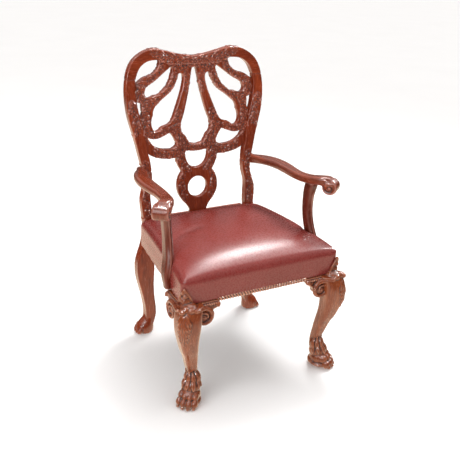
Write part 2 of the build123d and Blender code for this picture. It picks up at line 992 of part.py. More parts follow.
# ---- gadroon moulding -------------------------------------------------------------------------
with BuildPart() as gadroon_moulding:
    with BuildSketch(Plane.YZ):
        with BuildLine():
            moulding_back = seat_front + rail_inset
            ThreePointArc(
                (moulding_back, rail_bottom - moulding_radius),
                (moulding_back - moulding_radius, rail_bottom),
                (moulding_back, rail_bottom + moulding_radius),
            )
            Line(
                (moulding_back, rail_bottom + moulding_radius),
                (moulding_back, rail_bottom - moulding_radius),
            )
        make_face()
    extrude(amount=moulding_half_length, both=True)

# ---- writing the pieces -----------------------------------------------------------------------
rail_holes = [
    *front_block_holes,
    *rear_block_holes,
    *support_holes,
    tack_holes(all_tacks),
]
mirrored_holes = [mirror(hole, about=Plane.YZ) for hole in front_block_holes + rear_block_holes]

pair(front_leg.part, "front_leg")
pair(cut_from(rear_leg.part, arm_holes), "rear_leg_stile")
pair(cut_from(side_seat_rail.part, rail_holes), "side_seat_rail")
pair(front_knee_block.part, "front_knee_block")
pair(side_knee_block.part, "side_knee_block")
pair(cut_from(arm.part, arm_holes), "arm")
pair(cut_from(arm_support.part, support_holes), "arm_support")
pair(cut_from(front_corner_block.part, front_block_holes), "front_corner_block")
pair(cut_from(rear_corner_block.part, rear_block_holes), "rear_corner_block")

single(crest_rail.part, "crest_rail")
single(back_splat.part, "back_splat")
single(splat_shoe.part, "splat_shoe")
single(cut_from(front_seat_rail.part, rail_holes + mirrored_holes), "front_seat_rail")
single(cut_from(rear_seat_rail.part, rail_holes + mirrored_holes), "rear_seat_rail")
single(gadroon_moulding.part, "gadroon_moulding")
single(both_hands(screws(front_block_screws + rear_block_screws)), "corner_block_screws")
single(both_hands(screws(support_screws)), "arm_support_screws")
single(both_hands(screws(arm_screws)), "arm_screws")
single(both_hands([tack(place) for place in all_tacks]), "upholstery_tacks")
single(seat_webbing.part, "lengthwise_webbing")
single(cross_webbing.part, "crosswise_webbing")
single(seat_hessian.part, "seat_hessian")
single(seat_stuffing.part, "seat_stuffing")
single(leather_cover.part, "leather_cover")
single(dust_cover.part, "dust_cover")
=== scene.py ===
import json
from math import cos, pi, radians, sin

import bmesh
import bpy
import numpy as np
from mathutils import Matrix, Vector


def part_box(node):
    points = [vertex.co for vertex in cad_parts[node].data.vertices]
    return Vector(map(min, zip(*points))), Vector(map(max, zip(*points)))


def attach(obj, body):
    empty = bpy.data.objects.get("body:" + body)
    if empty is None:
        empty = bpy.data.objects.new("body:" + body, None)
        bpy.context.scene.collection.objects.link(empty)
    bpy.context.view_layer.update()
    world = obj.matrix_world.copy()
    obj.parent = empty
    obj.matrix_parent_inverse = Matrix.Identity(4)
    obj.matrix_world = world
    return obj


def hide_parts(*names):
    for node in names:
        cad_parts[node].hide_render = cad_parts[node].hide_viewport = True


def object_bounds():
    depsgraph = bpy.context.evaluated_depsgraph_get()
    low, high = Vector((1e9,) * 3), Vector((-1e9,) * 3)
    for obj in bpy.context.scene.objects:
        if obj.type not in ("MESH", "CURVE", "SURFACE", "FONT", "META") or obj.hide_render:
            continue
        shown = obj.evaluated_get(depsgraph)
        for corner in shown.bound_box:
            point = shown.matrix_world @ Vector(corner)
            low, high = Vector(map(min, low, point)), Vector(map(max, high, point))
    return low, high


# Open armchair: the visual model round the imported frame. The ornament is carved in
# millimetres, like the drawings of the chair; MM turns them into Blender's metres.
MM = 0.001
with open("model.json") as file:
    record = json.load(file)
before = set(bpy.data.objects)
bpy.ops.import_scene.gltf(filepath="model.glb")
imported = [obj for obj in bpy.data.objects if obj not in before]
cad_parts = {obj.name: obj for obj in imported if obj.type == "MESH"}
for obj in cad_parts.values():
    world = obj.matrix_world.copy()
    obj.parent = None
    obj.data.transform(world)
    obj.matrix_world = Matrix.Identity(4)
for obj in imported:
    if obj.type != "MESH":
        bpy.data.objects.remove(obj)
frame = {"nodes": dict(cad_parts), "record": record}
scene = bpy.context.scene
nodes = frame["nodes"]
cad_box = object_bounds()

# ---- camera, floor and light -----------------------------------------------------------------
middle = (cad_box[0] + cad_box[1]) / 2
camera_yaw = radians(-28.96)
camera_pitch = radians(-23.19)
camera_roll = radians(2.32)
camera_distance = 2.254
camera_lens = 50.995
aim = middle + Vector((-0.002, -0.022, -0.048))

forward = Vector(
    (
        -sin(camera_yaw) * cos(camera_pitch),
        cos(camera_yaw) * cos(camera_pitch),
        sin(camera_pitch),
    )
)
level = Vector((cos(camera_yaw), sin(camera_yaw), 0))
upward = level.cross(forward)
camera_x = level * cos(camera_roll) + upward * sin(camera_roll)
camera_y = upward * cos(camera_roll) - level * sin(camera_roll)
camera = bpy.data.objects.new("camera", bpy.data.cameras.new("camera"))
camera.data.sensor_width = 36
camera.data.lens = camera_lens
turn = Matrix((camera_x, camera_y, -forward)).transposed().to_4x4()
camera.matrix_world = Matrix.Translation(aim - forward * camera_distance) @ turn
scene.collection.objects.link(camera)
scene.camera = camera
scene.view_settings.view_transform = "Standard"


def node(tree, kind, inputs=None, **settings):
    """Shader node with its settings, and its inputs linked or set."""
    made = tree.nodes.new("ShaderNode" + kind)
    for name, value in settings.items():
        setattr(made, name, value)
    for socket, value in (inputs or {}).items():
        if isinstance(value, bpy.types.NodeSocket):
            tree.links.new(value, made.inputs[socket])
        else:
            made.inputs[socket].default_value = value
    return made


def material(name, **values):
    """Material with its principled shader's own values set."""
    made = bpy.data.materials.new(name)
    made.use_nodes = True
    shader = made.node_tree.nodes["Principled BSDF"]
    for socket, value in values.items():
        shader.inputs[socket.replace("_", " ")].default_value = value
    return made, made.node_tree, shader


def noise(tree, place, stretch, detail=4, roughness=0.55, distortion=0):
    """Noise over the object, this many grains to the metre along each axis."""
    scaled = node(tree, "Mapping", {"Vector": place, "Scale": stretch})
    inputs = {
        "Vector": scaled.outputs[0],
        "Scale": 1,
        "Detail": detail,
        "Roughness": roughness,
        "Distortion": distortion,
    }
    return node(tree, "TexNoise", inputs).outputs["Fac"]


def ramp(tree, value, low, high, to_low=0.0, to_high=1.0):
    """Value carried from one range to another, clamped."""
    inputs = {
        "Value": value,
        "From Min": low,
        "From Max": high,
        "To Min": to_low,
        "To Max": to_high,
    }
    return node(tree, "MapRange", inputs).outputs[0]


def mixed(tree, factor, first, second):
    """Colour between two others."""
    mix = node(tree, "Mix", {0: factor}, data_type="RGBA")
    for socket, value in ((6, first), (7, second)):
        if isinstance(value, bpy.types.NodeSocket):
            tree.links.new(value, mix.inputs[socket])
        else:
            mix.inputs[socket].default_value = (*value, 1)
    return mix.outputs[2]


def bumped(tree, shader, height, strength, distance):
    """Bump from a height, linked to the shader."""
    inputs = {"Height": height, "Strength": strength, "Distance": distance}
    bump = node(tree, "Bump", inputs)
    tree.links.new(bump.outputs[0], shader.inputs["Normal"])


def object_place(tree):
    """Place on the object, in metres, for its textures."""
    return node(tree, "TexCoord").outputs["Object"]


floor_material, tree, shader = material("studio_floor", Roughness=0.9)
cloudy = noise(tree, object_place(tree), (1.5, 1.5, 1.5))
shade = mixed(tree, ramp(tree, cloudy, 0.3, 0.7), (0.93, 0.93, 0.93), (0.95, 0.95, 0.95))
tree.links.new(shade, shader.inputs["Base Color"])
floor_half = 40
dome_radius = 0.95 * floor_half
floor_mesh = bpy.data.meshes.new("floor")
floor_corners = [(-1, -1), (1, -1), (1, 1), (-1, 1)]
floor_places = [(x * floor_half, y * floor_half, 0) for x, y in floor_corners]
floor_mesh.from_pydata(floor_places, [], [(0, 1, 2, 3)])
floor_mesh.materials.append(floor_material)
floor = bpy.data.objects.new("floor", floor_mesh)
scene.collection.objects.link(floor)
floor.visible_glossy = False

# pale dome seen behind the floor; light passes it, so the chair is lit by the world
dome_shape = bmesh.new()
bmesh.ops.create_uvsphere(dome_shape, u_segments=48, v_segments=24, radius=dome_radius)
dome_mesh = bpy.data.meshes.new("dome")
dome_shape.to_mesh(dome_mesh)
dome_shape.free()
dome_colour = (0.93, 0.93, 0.93, 1)
dome_material = material("studio_dome", Roughness=1, Emission_Strength=1, Emission_Color=dome_colour)[0]
dome_mesh.materials.append(dome_material)
dome = bpy.data.objects.new("dome", dome_mesh)
scene.collection.objects.link(dome)
dome.visible_diffuse = dome.visible_glossy = dome.visible_shadow = False

horizon = (0.05, 0.04, 0.035)
zenith = (0.98, 0.95, 0.93)
floor_glow = (1.75, 1.45, 1.1)  # light that a pale floor sends up on the chair
world = bpy.data.worlds.new("studio")
world.use_nodes = True
tree = world.node_tree
rise = node(tree, "SeparateXYZ", {0: node(tree, "TexCoord").outputs["Generated"]}).outputs[2]
sky = mixed(tree, ramp(tree, rise, 0.08, 0.6), horizon, zenith)
sky = mixed(tree, ramp(tree, rise, -0.2, -0.36), sky, floor_glow)
tree.links.new(sky, tree.nodes["Background"].inputs["Color"])
tree.nodes["Background"].inputs["Strength"].default_value = 0.8
scene.world = world


def lamp(name, kind, energy, direction, glints_only=False, **settings):
    """Light that shines on the chair from a direction; glints_only leaves out its diffuse part."""
    light = bpy.data.lights.new(name, kind)
    light.energy = energy
    distance = settings.pop("distance", 3)
    for key, value in settings.items():
        setattr(light, key, value)
    made = bpy.data.objects.new(name, light)
    away = Vector(direction).normalized()
    made.location = middle + away * distance
    made.rotation_euler = away.to_track_quat("Z", "Y").to_euler()
    made.visible_diffuse = not glints_only
    scene.collection.objects.link(made)


lamp("sky_panel", "SUN", 1.3, (0.3, 0.2, 0.93), angle=radians(50))
lamp("window_panel", "AREA", 42, (0.445, 0.363, 0.82), size=0.7, distance=2.5)
lamp("left_panel", "AREA", 25, (-1.0, -0.45, 0.5), size=1.6, distance=2.6)
for name, energy, direction in (
    ("glint_left", 34, (-0.36, -0.09, 0.93)),
    ("glint_right", 60, (0.87, 0.07, 0.48)),
    ("glint_front", 42, (-0.55, -0.69, 0.46)),
):
    lamp(name, "AREA", energy, direction, True, size=0.2, distance=2.6)

# ---- materials -------------------------------------------------------------------------------


def mahogany(name, axis, dark, light, worn_and_highlight_colour, wear_and_highlight=0.6):
    """Polished mahogany with its grain along an axis; hollows darkened by painted shade, high places
    paler from wear and a painted highlight.
    """
    made, tree, shader = material(name, IOR=1.5, Coat_Weight=0.35, Coat_Roughness=0.13)
    place = object_place(tree)

    def stretched(across, along):
        return [along if number == axis else across for number in range(3)]

    figure = noise(tree, place, stretched(42, 5), 3, 0.5, 0.8)
    fibre = noise(tree, place, stretched(330, 14), 5, 0.6)
    pores = noise(tree, place, stretched(950, 45), 2, 0.5)
    pore = ramp(tree, pores, 0.6, 0.7)
    # the cavity depth drives painted shade in the hollows and a paler colour on the high places, partly
    # wear and partly painted highlight
    depth = node(tree, "Attribute", attribute_name="cavity").outputs["Fac"]
    recess = ramp(tree, depth, 0.03, 0.5)
    raised = ramp(tree, depth, -0.25, -0.95)

    tone = node(tree, "Math", {0: figure, 1: fibre}, operation="ADD").outputs[0]
    colour = mixed(tree, ramp(tree, tone, 0.72, 1.28), dark, light)
    pore_share = node(tree, "Math", {0: pore, 1: 0.45}, operation="MULTIPLY").outputs[0]
    colour = mixed(tree, pore_share, colour, [value * 0.3 for value in dark])
    # painted shade: the hollows darkened towards black-red
    painted_shade_share = node(tree, "Math", {0: recess, 1: 0.95}, operation="MULTIPLY").outputs[0]
    colour = mixed(tree, painted_shade_share, colour, [value * 0.16 for value in dark])
    # high places paler: partly wear, partly a painted highlight
    wear_and_highlight_share = node(tree, "Math", {0: raised, 1: wear_and_highlight}, operation="MULTIPLY").outputs[0]
    colour = mixed(tree, wear_and_highlight_share, colour, worn_and_highlight_colour)
    tree.links.new(colour, shader.inputs["Base Color"])

    gloss = ramp(tree, fibre, 0.3, 0.7, 0.19, 0.3)
    dusty = node(tree, "Math", {0: recess, 1: 0.3, 2: gloss}, operation="MULTIPLY_ADD")
    rubbed = node(tree, "Math", {0: raised, 1: -0.12, 2: dusty.outputs[0]}, operation="MULTIPLY_ADD")
    tree.links.new(rubbed.outputs[0], shader.inputs["Roughness"])
    grain = node(tree, "Math", {0: pore, 1: -0.6, 2: fibre}, operation="MULTIPLY_ADD")
    bumped(tree, shader, grain.outputs[0], 0.25, 0.0003)
    return made


dark_mahogany = (0.16, 0.019, 0.005)
red_mahogany = (0.36, 0.055, 0.013)
# the arms and the arm supports get darker copies of the mahogany: painted shade
dark_arm_with_painted_shade = (0.13, 0.017, 0.005)
light_arm_with_painted_shade = (0.27, 0.045, 0.014)
dark_support_with_painted_shade = (0.085, 0.011, 0.004)
light_support_with_painted_shade = (0.17, 0.026, 0.009)
# paler colour of the high places: partly wear, partly painted highlight
worn_and_highlight_mahogany = (0.6, 0.26, 0.2)
dark_leg = (0.16, 0.027, 0.008)
light_leg = (0.33, 0.076, 0.022)
# paler colour of the legs' high places: partly wear, partly painted highlight
worn_and_highlight_leg = (0.58, 0.27, 0.17)
along_x, along_y, along_z = range(3)
back_wood = mahogany("mahogany_back", along_z, dark_mahogany, red_mahogany, worn_and_highlight_mahogany)
crest_wood = mahogany("mahogany_crest", along_x, dark_mahogany, red_mahogany, worn_and_highlight_mahogany)
# darker copies of the mahogany: painted shade on the arms and their supports
arm_wood_with_painted_shade = mahogany("mahogany_arm_painted_shade", along_y, dark_arm_with_painted_shade, light_arm_with_painted_shade, worn_and_highlight_mahogany)
support_wood_with_painted_shade = mahogany("mahogany_support_painted_shade", along_z, dark_support_with_painted_shade, light_support_with_painted_shade, worn_and_highlight_mahogany)
leg_wood = mahogany("mahogany_leg", along_z, dark_leg, light_leg, worn_and_highlight_leg)
# the knees' high places take more of the paler colour, partly wear and partly painted highlight
knee_wood = mahogany("mahogany_knee", along_x, dark_leg, light_leg, worn_and_highlight_leg, 0.85)


def timber(name, dark, light, fleck):
    """Planed beech of the seat frame, never polished."""
    made, tree, shader = material(name, Roughness=0.62)
    place = object_place(tree)
    growth = noise(tree, place, (18, 18, 150), 4, 0.55, 0.6)
    flecks = ramp(tree, noise(tree, place, (500, 500, 220), 2), 0.62, 0.72)
    colour = mixed(tree, ramp(tree, growth, 0.3, 0.7), dark, light)
    fleck_share = node(tree, "Math", {0: flecks, 1: 0.5}, operation="MULTIPLY").outputs[0]
    colour = mixed(tree, fleck_share, colour, fleck)
    tree.links.new(colour, shader.inputs["Base Color"])
    bumped(tree, shader, growth, 0.3, 0.0004)
    return made


def metal(name, colour, roughness, rust):
    """Screws and tacks, brushed and a little tarnished."""
    made, tree, shader = material(name, Metallic=0.9)
    place = object_place(tree)
    stain = ramp(tree, noise(tree, place, (240, 240, 240), 5, 0.6), 0.45, 0.75)
    tree.links.new(mixed(tree, stain, colour, rust), shader.inputs["Base Color"])
    tree.links.new(ramp(tree, stain, 0, 1, roughness, 0.7), shader.inputs["Roughness"])
    bumped(tree, shader, stain, 0.2, 0.0002)
    return made


def woven(name, light, dark, threads, strength):
    """Plain weave, this many threads to the metre both ways."""
    made, tree, shader = material(name, Roughness=0.92, Sheen_Weight=0.25, Sheen_Roughness=0.5)
    place = object_place(tree)
    apart = node(tree, "SeparateXYZ", {0: place})
    waves = []
    for number, other in ((0, 1), (1, 0)):
        wave = node(tree, "Math", {0: apart.outputs[number], 1: threads * pi}, operation="MULTIPLY")
        ridge = node(tree, "Math", {0: wave.outputs[0]}, operation="SINE")
        crossing = node(tree, "Math", {0: apart.outputs[other], 1: threads * pi}, operation="MULTIPLY")
        over = node(tree, "Math", {0: crossing.outputs[0]}, operation="COSINE")
        pair = node(tree, "Math", {0: ridge.outputs[0], 1: over.outputs[0]}, operation="MULTIPLY")
        waves.append(node(tree, "Math", {0: pair.outputs[0]}, operation="ABSOLUTE").outputs[0])
    weave = node(tree, "Math", {0: waves[0], 1: waves[1]}, operation="MAXIMUM").outputs[0]
    blotch = noise(tree, place, (60, 60, 60), 3)
    cloth = mixed(tree, blotch, light, [value * 0.8 for value in light])
    tree.links.new(mixed(tree, weave, dark, cloth), shader.inputs["Base Color"])
    bumped(tree, shader, weave, strength, 0.5 / threads)
    return made


dark_hide = (0.23, 0.026, 0.02)
light_hide = (0.3, 0.045, 0.037)
rubbed_hide = (0.33, 0.06, 0.048)
crack_colour = (0.1, 0.01, 0.01)
# painted shade for the leather's hollows, its crease and its tuck
painted_hollow_shade = (0.09, 0.012, 0.012)


def hide():
    """Burgundy hide with a fine grain, rubbed paler and drier in patches; painted shade darkens its
    hollows.
    """
    made, tree, shader = material("burgundy_hide", IOR=1.5, Coat_Weight=0.15, Coat_Roughness=0.2)
    place = object_place(tree)
    inputs = {"Vector": place, "Scale": 620, "Randomness": 1}
    pebble = node(tree, "TexVoronoi", inputs, feature="DISTANCE_TO_EDGE").outputs["Distance"]
    crack = ramp(tree, pebble, 0.0, 0.16)
    broad = noise(tree, place, (9, 9, 9), 4, 0.6, 0.4)
    fine = noise(tree, place, (160, 160, 160), 5, 0.65)
    colour = mixed(tree, ramp(tree, broad, 0.3, 0.7), dark_hide, light_hide)
    fine_share = ramp(tree, fine, 0.3, 0.75, 0, 0.3)
    colour = mixed(tree, fine_share, colour, rubbed_hide)
    crack_share = ramp(tree, crack, 0, 1, 0.5, 0)
    colour = mixed(tree, crack_share, colour, crack_colour)
    depth = node(tree, "Attribute", attribute_name="cavity").outputs["Fac"]
    # painted shade: the hollows of the leather darkened
    colour = mixed(tree, ramp(tree, depth, 0.1, 1, 0, 0.6), colour, painted_hollow_shade)
    tree.links.new(colour, shader.inputs["Base Color"])
    tree.links.new(ramp(tree, fine, 0.25, 0.75, 0.22, 0.34), shader.inputs["Roughness"])
    relief = node(tree, "Math", {0: fine, 1: 0.4, 2: crack}, operation="MULTIPLY_ADD")
    bumped(tree, shader, relief.outputs[0], 0.16, 0.0003)
    return made


leather = hide()
beech = timber("bare_beech", (0.42, 0.25, 0.12), (0.6, 0.41, 0.24), (0.25, 0.13, 0.06))
stained_beech = timber("stained_beech", (0.11, 0.022, 0.008), (0.19, 0.045, 0.016), (0.05, 0.01, 0.004))
steel = metal("screw_steel", (0.5, 0.5, 0.49), 0.32, (0.3, 0.2, 0.14))
tack_steel = metal("blued_tack_steel", (0.05, 0.055, 0.075), 0.38, (0.09, 0.06, 0.045))
webbing_cloth = woven("jute_webbing", (0.5, 0.38, 0.22), (0.22, 0.15, 0.08), 620, 0.7)
hessian_cloth = woven("coarse_hessian", (0.52, 0.41, 0.25), (0.16, 0.11, 0.06), 760, 0.8)
black_cloth = woven("black_dust_cloth", (0.035, 0.035, 0.038), (0.012, 0.012, 0.013), 1700, 0.5)

finishes = {
    "polished_mahogany": back_wood,
    "frame_timber": beech,
    "steel": steel,
    "tack_steel": tack_steel,
    "jute_webbing": webbing_cloth,
    "hessian": hessian_cloth,
    "stuffing": hessian_cloth,
    "seat_leather": leather,
    "black_calico": black_cloth,
}
for row in frame["record"]["subparts"]:
    mesh = nodes[row["node"]].data
    mesh.materials.clear()
    mesh.materials.append(finishes[row["material_slot"]])
nodes["rear_seat_rail"].data.materials[0] = stained_beech  # its back is in sight

# ---- mesh helpers ----------------------------------------------------------------------------


def vertex_values(mesh, what):
    values = np.empty(len(mesh.vertices) * 3, np.float32)
    mesh.vertices.foreach_get(what, values)
    return values.reshape(-1, 3).astype(float)


def points_of(mesh):
    """Places of the vertices, in millimetres."""
    return vertex_values(mesh, "co") / MM


def normals_of(mesh):
    mesh.update()
    return vertex_values(mesh, "normal")


def move_points(mesh, points):
    """Put the vertices at places given in millimetres."""
    mesh.vertices.foreach_set("co", (points * MM).astype(np.float32).ravel())
    mesh.update()


def neighbour_mean(mesh, values, rounds):
    """Values at the vertices, averaged over the neighbours this many times."""
    ends = np.empty(len(mesh.edges) * 2, np.int32)
    mesh.edges.foreach_get("vertices", ends)
    first, second = ends.reshape(-1, 2).T
    size = len(mesh.vertices)
    share = np.bincount(first, minlength=size) + np.bincount(second, minlength=size)
    share = np.maximum(share, 1)
    for _ in range(rounds):
        columns = []
        for column in values.T:
            total = np.bincount(first, weights=column[second], minlength=size)
            total += np.bincount(second, weights=column[first], minlength=size)
            columns.append((column + total) / (1 + share))
        values = np.array(columns).T
    return values


def mark_cavities(mesh, full, rounds=8, share=1):
    """Store how far each point lies under (+) or over (-) its surroundings, from -1 to 1.

    full is the depth in millimetres that counts as 1, and share scales each point's depth.
    """
    points = points_of(mesh)
    level = neighbour_mean(mesh, points, rounds)
    depth = share * ((level - points) * normals_of(mesh)).sum(1)
    # the materials turn this into painted shade in the hollows and a paler colour on the high places,
    # partly wear and partly painted highlight
    cavity = mesh.attributes.new("cavity", "FLOAT", "POINT")
    cavity.data.foreach_set("value", np.clip(depth / full, -1, 1).astype(np.float32))


def apply_modifiers(piece):
    """Replace a piece's mesh by what its modifiers make of it."""
    graph = bpy.context.evaluated_depsgraph_get()
    mesh = bpy.data.meshes.new_from_object(piece.evaluated_get(graph))
    piece.modifiers.clear()
    spare = piece.data
    piece.data = mesh
    bpy.data.meshes.remove(spare)


def new_piece(name, shape):
    """Object made from a bmesh, linked to the scene."""
    mesh = bpy.data.meshes.new(name)
    shape.to_mesh(mesh)
    shape.free()
    piece = bpy.data.objects.new(name, mesh)
    scene.collection.objects.link(piece)
    return piece


def merge_solids(piece, voxel, smoothing):
    """Melt a piece's overlapping solids into one skin of even quads."""
    remesh = piece.modifiers.new("melt", "REMESH")
    remesh.mode = "VOXEL"
    remesh.voxel_size = voxel * MM
    if smoothing:
        smooth = piece.modifiers.new("soften", "SMOOTH")
        smooth.factor = 0.5
        smooth.iterations = smoothing
    apply_modifiers(piece)


def copied_nodes(names):
    """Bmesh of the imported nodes' faces, closed up where they meet."""
    shape = bmesh.new()
    for name in names:
        shape.from_mesh(nodes[name].data)
    bmesh.ops.remove_doubles(shape, verts=shape.verts, dist=0.01 * MM)
    return shape


def ellipsoid(shape, place, radii, turn=None, subdivisions=3):
    """Add an ellipsoid, in millimetres, turned by a rotation matrix."""
    matrix = Matrix.Translation(Vector(place) * MM)
    if turn is not None:
        matrix = matrix @ turn.to_4x4()
    matrix = matrix @ Matrix.Diagonal((*[radius * MM for radius in radii], 1))
    bmesh.ops.create_icosphere(shape, subdivisions=subdivisions, radius=1, matrix=matrix)


def tube(shape, places, radii, gap=2.5):
    """Rounded ridge along places; its radius runs evenly through the radii given."""
    places = np.array(places, float)
    run = np.concatenate([[0], np.cumsum(np.linalg.norm(np.diff(places, axis=0), axis=1))])
    marks = np.linspace(0, run[-1], int(run[-1] / gap) + 2)
    thick = np.interp(marks / run[-1], np.linspace(0, 1, len(radii)), radii)
    for mark, radius in zip(marks, thick):
        place = [np.interp(mark, run, places[:, number]) for number in range(3)]
        ellipsoid(shape, place, (radius, radius, radius), subdivisions=2)


def finished(piece, finish, slot, *replaced):
    """Give a piece its material, its smooth shading and its place in the model."""
    piece.data.materials.clear()
    piece.data.materials.append(finish)
    piece.data.shade_smooth()
    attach(piece, "root")
    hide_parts(*replaced)


# ---- ornament --------------------------------------------------------------------------------


class Relief:
    """Heights of carved ornament over a surface laid out flat, in millimetres."""

    def __init__(self, across, up):
        self.across = across
        self.up = up
        self.height = np.zeros(len(across))

    def near(self, place, reach):
        """Points within reach of a place, and their distance from it across and up."""
        du = self.across - place[0]
        dv = self.up - place[1]
        found = np.nonzero((abs(du) < reach) & (abs(dv) < reach))[0]
        return found, du[found], dv[found]

    def raise_to(self, found, height):
        self.height[found] = np.maximum(self.height[found], height)

    def leaf(self, base, angle, length, width, height=3.0, lobes=3, groove=0.55):
        """Lobed leaf with a sunk midrib, from its base towards an angle."""
        found, du, dv = self.near(base, length + width)
        along = (du * cos(angle) + dv * sin(angle)) / length
        side = abs(dv * cos(angle) - du * sin(angle))
        kept = (along > 0) & (along < 1)
        found, along, side = found[kept], along[kept], side[kept]
        lobe = np.cos(2 * pi * (lobes * along - 0.8 * side / width))
        half = width / 2 * np.sin(pi * along**0.75) ** 0.7 * (0.84 + 0.16 * lobe)
        body = np.sqrt(np.clip(1 - (side / np.maximum(half, 0.1)) ** 2, 0, 1))
        rib = np.exp(-((side / (0.11 * width)) ** 2))
        rise = height * (0.55 + 0.45 * along) * (0.78 + 0.22 * lobe)
        self.raise_to(found, rise * body * (1 - groove * rib))

    def scroll(self, centre, radius, turns=1.8, start=0.0, hand=1, height=3.0):
        """Volute that winds in to a round eye."""
        found, du, dv = self.near(centre, radius)
        reach = np.hypot(du, dv) / radius
        winding = reach * turns - hand * np.arctan2(dv, du) / (2 * pi) + start
        ridge = abs(np.sin(pi * winding)) ** 0.7
        edge = np.clip((1 - reach) / 0.1, 0, 1)
        rise = height * ridge * (0.55 + 0.45 * (1 - reach)) * edge
        eye = height * 1.15 * np.sqrt(np.clip(1 - (reach / 0.27) ** 2, 0, 1))
        self.raise_to(found, np.where(reach < 0.27, eye, rise))

    def rosette(self, centre, radius, petals, height=3.0):
        found, du, dv = self.near(centre, radius)
        reach = np.hypot(du, dv) / radius
        petal = abs(np.cos(petals / 2 * np.arctan2(dv, du))) ** 0.6
        bowl = np.sqrt(np.clip(1 - ((reach - 0.6) / 0.4) ** 2, 0, 1))
        eye = np.sqrt(np.clip(1 - (reach / 0.3) ** 2, 0, 1))
        self.raise_to(found, height * np.maximum(bowl * petal, eye))

    def bead(self, centre, radius, height=2.0):
        found, du, dv = self.near(centre, radius)
        reach = np.hypot(du, dv) / radius
        self.raise_to(found, height * np.sqrt(np.clip(1 - reach**2, 0, 1)))

    def fillet(self, points, width, height=1.5):
        """Raised rounded line along points."""
        for start, end in zip(points[:-1], points[1:]):
            start, end = np.array(start, float), np.array(end, float)
            step = end - start
            length = np.hypot(*step)
            found, du, dv = self.near((start + end) / 2, length / 2 + width)
            du, dv = du + step[0] / 2, dv + step[1] / 2
            along = np.clip((du * step[0] + dv * step[1]) / length**2, 0, 1)
            away = np.hypot(du - along * step[0], dv - along * step[1])
            body = np.sqrt(np.clip(1 - (2 * away / width) ** 2, 0, 1))
            self.raise_to(found, height * body)

    def foliage(self, points, width, step=12.0, height=3.0, lean=0.65):
        """Leaves that spring from a winding stem, first to one side, then to the other."""
        places, angles = stations(points, step)
        for number, (place, angle) in enumerate(zip(places, angles)):
            side = 1 if number % 2 == 0 else -1
            swing = 1 + 0.22 * sin(2.3 * number + 0.1 * place[0])
            sideways = np.array((sin(angle), -cos(angle)))
            base = place - side * 0.16 * width * sideways
            self.leaf(base, angle - side * lean * swing, 1.3 * width, 0.66 * width * swing, height, 2)
            self.leaf(base, angle + side * 0.3, 0.85 * width, 0.34 * width, 0.8 * height, 1)
            if number % 3 == 1:
                self.scroll(place + side * 0.3 * width * sideways, 0.3 * width, 1.2, 0.3, side, height)


def stations(points, step):
    """Places this far apart along points, with the heading at each."""
    points = np.array(points, float)
    legs = np.hypot(*np.diff(points, axis=0).T)
    run = np.concatenate([[0], np.cumsum(legs)])
    marks = np.linspace(0, run[-1], max(2, int(round(run[-1] / step)) + 1))
    x, z = np.interp(marks, run, points[:, 0]), np.interp(marks, run, points[:, 1])
    angles = np.arctan2(np.gradient(z), np.gradient(x))
    return np.stack([x, z], axis=1), angles


def eased(value, low, high):
    """Smooth step from 0 at low to 1 at high."""
    share = np.clip((value - low) / (high - low), 0, 1)
    return share * share * (3 - 2 * share)


# ---- the pierced back ------------------------------------------------------------------------
back_hollow_radius = 2190
back_rake = 0.1118
edge_wave = 17  # between the scallops of a carved ribbon's edge
rear_paw = (232, 210.6)
rear_paw_top = 60


